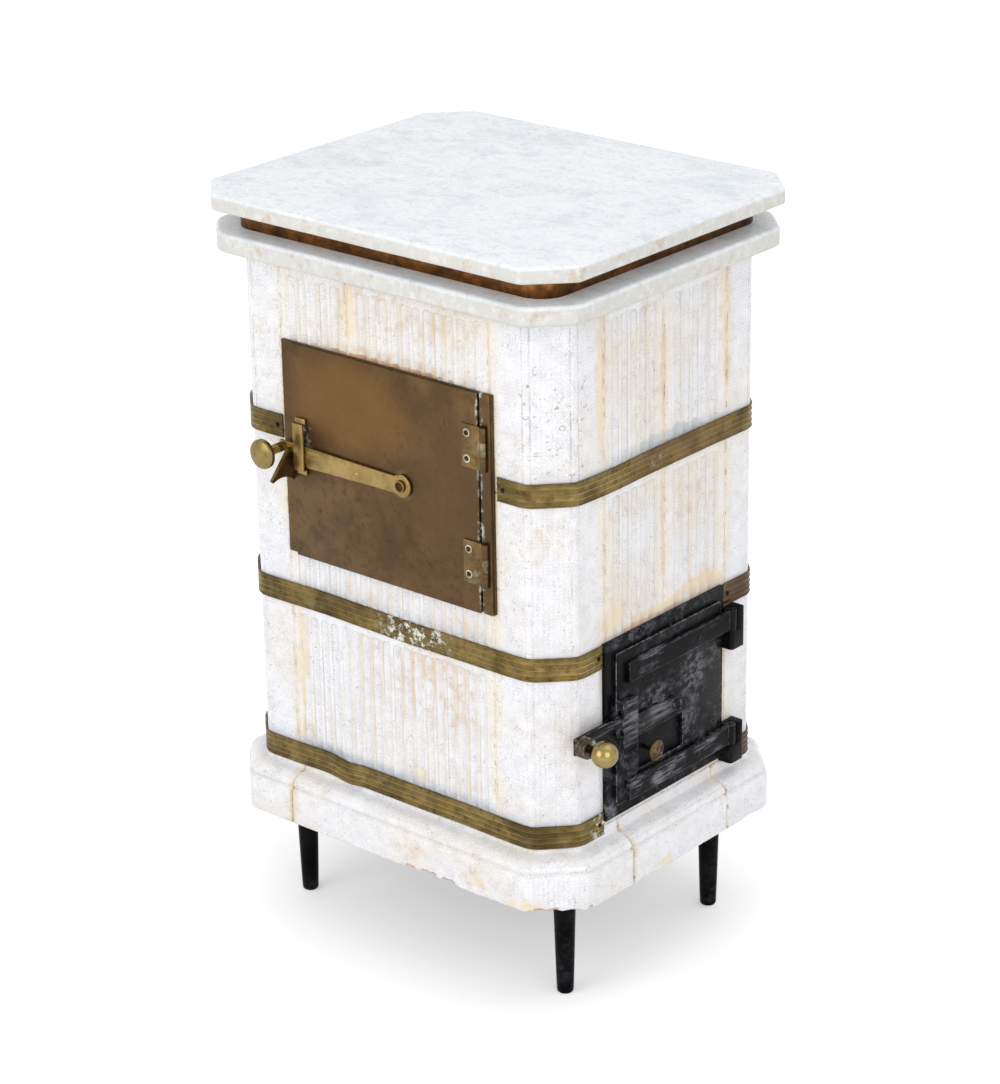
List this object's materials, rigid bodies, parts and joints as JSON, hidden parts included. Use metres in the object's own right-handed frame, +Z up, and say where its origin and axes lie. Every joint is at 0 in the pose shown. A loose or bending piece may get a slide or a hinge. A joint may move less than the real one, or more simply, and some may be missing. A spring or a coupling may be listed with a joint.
{
  "type": "tiled stove",
  "caption": "Small white tiled stove with marble top, brass bands, brass warming door, iron fire door and slim iron feet.",
  "frame": {"origin": "on the floor under the middle of the stove's outline box", "axes": "+Z up; -Y out of the brass warming door; +X out of the iron fire door; +Y out of the flue outlet"},
  "size_m": [0.525, 0.4518, 0.82],
  "materials": {
    "tile": "gloss white glaze, finely crackled",
    "marble": "honed",
    "fireclay": "matte",
    "brass": "satin, worn",
    "dark_brass": "dark patina",
    "copper_strip": "dark copper brown",
    "iron": "stove black",
    "sheet_iron": "matte",
    "foot_iron": "satin black"
  },
  "bodies": {
    "stove": {"back_tile_flue": "tile", "back_tiles_lower": "tile", "band_lower": "dark_brass", "band_middle": "dark_brass", "band_nails": "dark_brass", "band_upper": "dark_brass", "base_plate": "sheet_iron", "brass_frame": "dark_brass", "brass_hinge_pins": "dark_brass", "brass_latch_catch": "dark_brass", "corner_tiles_back_left": "tile", "corner_tiles_back_right": "tile", "corner_tiles_front_left": "tile", "corner_tiles_front_right": "tile", "cover_slab": "fireclay", "firebox_slabs": "fireclay", "flue_collar": "sheet_iron", "foot_back_left": "foot_iron", "foot_back_right": "foot_iron", "foot_front_left": "foot_iron", "foot_front_right": "foot_iron", "front_tile_bottom": "tile", "front_tile_middle": "tile", "front_tiles_top": "tile", "grate": "sheet_iron", "hearth_block": "fireclay", "iron_frame": "iron", "iron_hinge_pins": "iron", "iron_latch_catch": "iron", "left_tiles": "tile", "marble_rim": "marble", "oven_bars": "sheet_iron", "oven_box": "sheet_iron", "plinth_back": "tile", "plinth_corners": "tile", "plinth_front": "tile", "plinth_left": "tile", "plinth_right": "tile", "right_tile_sill": "tile", "right_tiles_middle": "tile", "right_tiles_top": "tile", "spacer_strip": "copper_strip"},
    "brass_door": {"brass_door_leaf": "dark_brass", "brass_hinge_leaves": "brass", "brass_latch_stud": "brass", "brass_latch_guide": "brass"},
    "brass_latch": {"brass_latch_bar": "brass", "brass_latch_knob": "brass"},
    "iron_door": {"iron_door_leaf": "iron", "iron_strap_lower": "iron", "iron_strap_upper": "iron", "iron_latch_stud": "iron", "iron_latch_guide": "iron"},
    "iron_latch": {"iron_latch_bar": "iron", "iron_latch_collar": "iron", "iron_latch_ball": "brass"},
    "draught": {"draught_shutter": "iron", "draught_knob": "brass"},
    "top_slab": {"marble_top": "marble"}
  },
  "joints": [
    {"name": "brass_door_hinge", "type": "hinge", "parent": "stove", "child": "brass_door", "pos_m": [0.1205, -0.18455, 0.556], "axis": [0, 0, 1], "range_deg": [0, 150]},
    {"name": "brass_latch_pivot", "type": "hinge", "parent": "brass_door", "child": "brass_latch", "pos_m": [0.0121, -0.18465, 0.5523], "axis": [0, 1, 0], "range_deg": [0, 8]},
    {"name": "iron_door_hinge", "type": "hinge", "parent": "stove", "child": "iron_door", "pos_m": [0.215, 0.09785, 0.3018], "axis": [0, 0, 1], "range_deg": [0, 115]},
    {"name": "iron_latch_pivot", "type": "hinge", "parent": "iron_door", "child": "iron_latch", "pos_m": [0.2135, 0.00085, 0.3018], "axis": [-1, 0, 0], "range_deg": [0, 9]},
    {"name": "draught_slide", "type": "slide", "parent": "iron_door", "child": "draught", "axis": [0, 1, 0], "range_m": [0, 0.05]},
    {"name": "top_slab_lift", "type": "slide", "parent": "stove", "child": "top_slab", "axis": [0, 0, 1], "range_m": [0, 0.12]}
  ]
}
